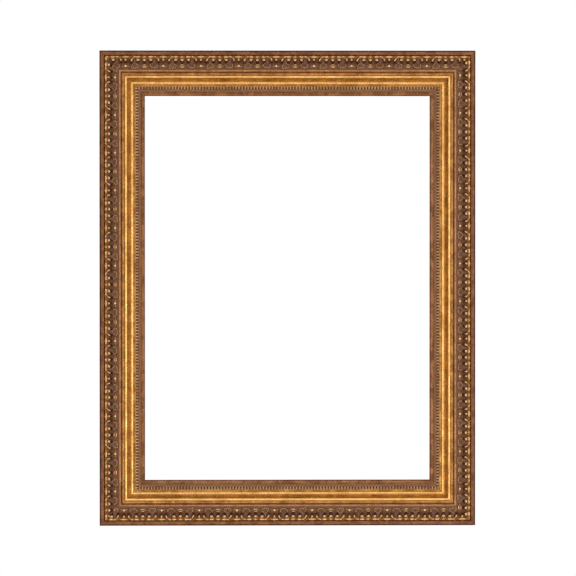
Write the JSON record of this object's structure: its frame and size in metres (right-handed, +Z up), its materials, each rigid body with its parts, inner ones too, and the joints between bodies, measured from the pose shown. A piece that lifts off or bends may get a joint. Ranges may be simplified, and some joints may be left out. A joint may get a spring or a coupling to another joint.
{
  "type": "picture frame",
  "caption": "Portrait picture frame of mitred gilded moulding with leaf and tongue ornament, a rabbet, turn buttons and D-ring hangers on its back.",
  "frame": {"origin": "centre of the picture opening, on the ledge of the rabbet that the picture rests against", "axes": "+X to the right seen from the front, +Y to the back, +Z up"},
  "size_m": [0.3852, 0.0303, 0.4866],
  "materials": {
    "gilded_wood": "toned gold leaf and copper-brown patina over wood",
    "gilded_composition": "gold leaf on the high points, grey-brown patina in the hollows",
    "toned_composition": "worn bronze gold with a brown wash",
    "nail_steel": "bright",
    "button_brass": "satin",
    "screw_steel": "zinc plated",
    "hanger_steel": "nickel plated",
    "felt": "felt"
  },
  "bodies": {
    "frame": {"rail_top": "gilded_wood", "leaf_band_top": "gilded_composition", "tongue_band_top": "toned_composition", "rail_right": "gilded_wood", "leaf_band_right": "gilded_composition", "tongue_band_right": "toned_composition", "rail_bottom": "gilded_wood", "leaf_band_bottom": "gilded_composition", "tongue_band_bottom": "toned_composition", "rail_left": "gilded_wood", "leaf_band_left": "gilded_composition", "tongue_band_left": "toned_composition", "v_nails_top_left": "nail_steel", "v_nails_top_right": "nail_steel", "v_nails_bottom_right": "nail_steel", "v_nails_bottom_left": "nail_steel", "turn_button_screws": "screw_steel", "hanger_screws": "screw_steel", "hanger_strap_left": "hanger_steel", "wall_bumper_left": "felt", "hanger_strap_right": "hanger_steel", "wall_bumper_right": "felt"},
    "turn_button_top_left": {"turn_button_top_left": "button_brass"},
    "turn_button_top_right": {"turn_button_top_right": "button_brass"},
    "turn_button_right_upper": {"turn_button_right_upper": "button_brass"},
    "turn_button_right_lower": {"turn_button_right_lower": "button_brass"},
    "turn_button_bottom_right": {"turn_button_bottom_right": "button_brass"},
    "turn_button_bottom_left": {"turn_button_bottom_left": "button_brass"},
    "turn_button_left_lower": {"turn_button_left_lower": "button_brass"},
    "turn_button_left_upper": {"turn_button_left_upper": "button_brass"},
    "hanger_ring_left": {"hanger_ring_left": "hanger_steel"},
    "hanger_ring_right": {"hanger_ring_right": "hanger_steel"}
  },
  "joints": [
    {"name": "turn_button_top_left_turn", "type": "hinge", "parent": "frame", "child": "turn_button_top_left", "pos_m": [-0.075, 0.0116, 0.2128], "axis": [0, 1, 0], "continuous": true},
    {"name": "turn_button_top_right_turn", "type": "hinge", "parent": "frame", "child": "turn_button_top_right", "pos_m": [0.075, 0.0116, 0.2128], "axis": [0, 1, 0], "continuous": true},
    {"name": "turn_button_right_upper_turn", "type": "hinge", "parent": "frame", "child": "turn_button_right_upper", "pos_m": [0.162, 0.0116, 0.13], "axis": [0, 1, 0], "continuous": true},
    {"name": "turn_button_right_lower_turn", "type": "hinge", "parent": "frame", "child": "turn_button_right_lower", "pos_m": [0.162, 0.0116, -0.13], "axis": [0, 1, 0], "continuous": true},
    {"name": "turn_button_bottom_right_turn", "type": "hinge", "parent": "frame", "child": "turn_button_bottom_right", "pos_m": [0.075, 0.0116, -0.2128], "axis": [0, 1, 0], "continuous": true},
    {"name": "turn_button_bottom_left_turn", "type": "hinge", "parent": "frame", "child": "turn_button_bottom_left", "pos_m": [-0.075, 0.0116, -0.2128], "axis": [0, 1, 0], "continuous": true},
    {"name": "turn_button_left_lower_turn", "type": "hinge", "parent": "frame", "child": "turn_button_left_lower", "pos_m": [-0.162, 0.0116, -0.13], "axis": [0, 1, 0], "continuous": true},
    {"name": "turn_button_left_upper_turn", "type": "hinge", "parent": "frame", "child": "turn_button_left_upper", "pos_m": [-0.162, 0.0116, 0.13], "axis": [0, 1, 0], "continuous": true},
    {"name": "hanger_ring_left_swing", "type": "hinge", "parent": "frame", "child": "hanger_ring_left", "pos_m": [-0.17355, 0.01338, 0.081], "axis": [1, 0, 0], "range_deg": [0, 175]},
    {"name": "hanger_ring_right_swing", "type": "hinge", "parent": "frame", "child": "hanger_ring_right", "pos_m": [0.17355, 0.01338, 0.081], "axis": [1, 0, 0], "range_deg": [0, 175]}
  ]
}
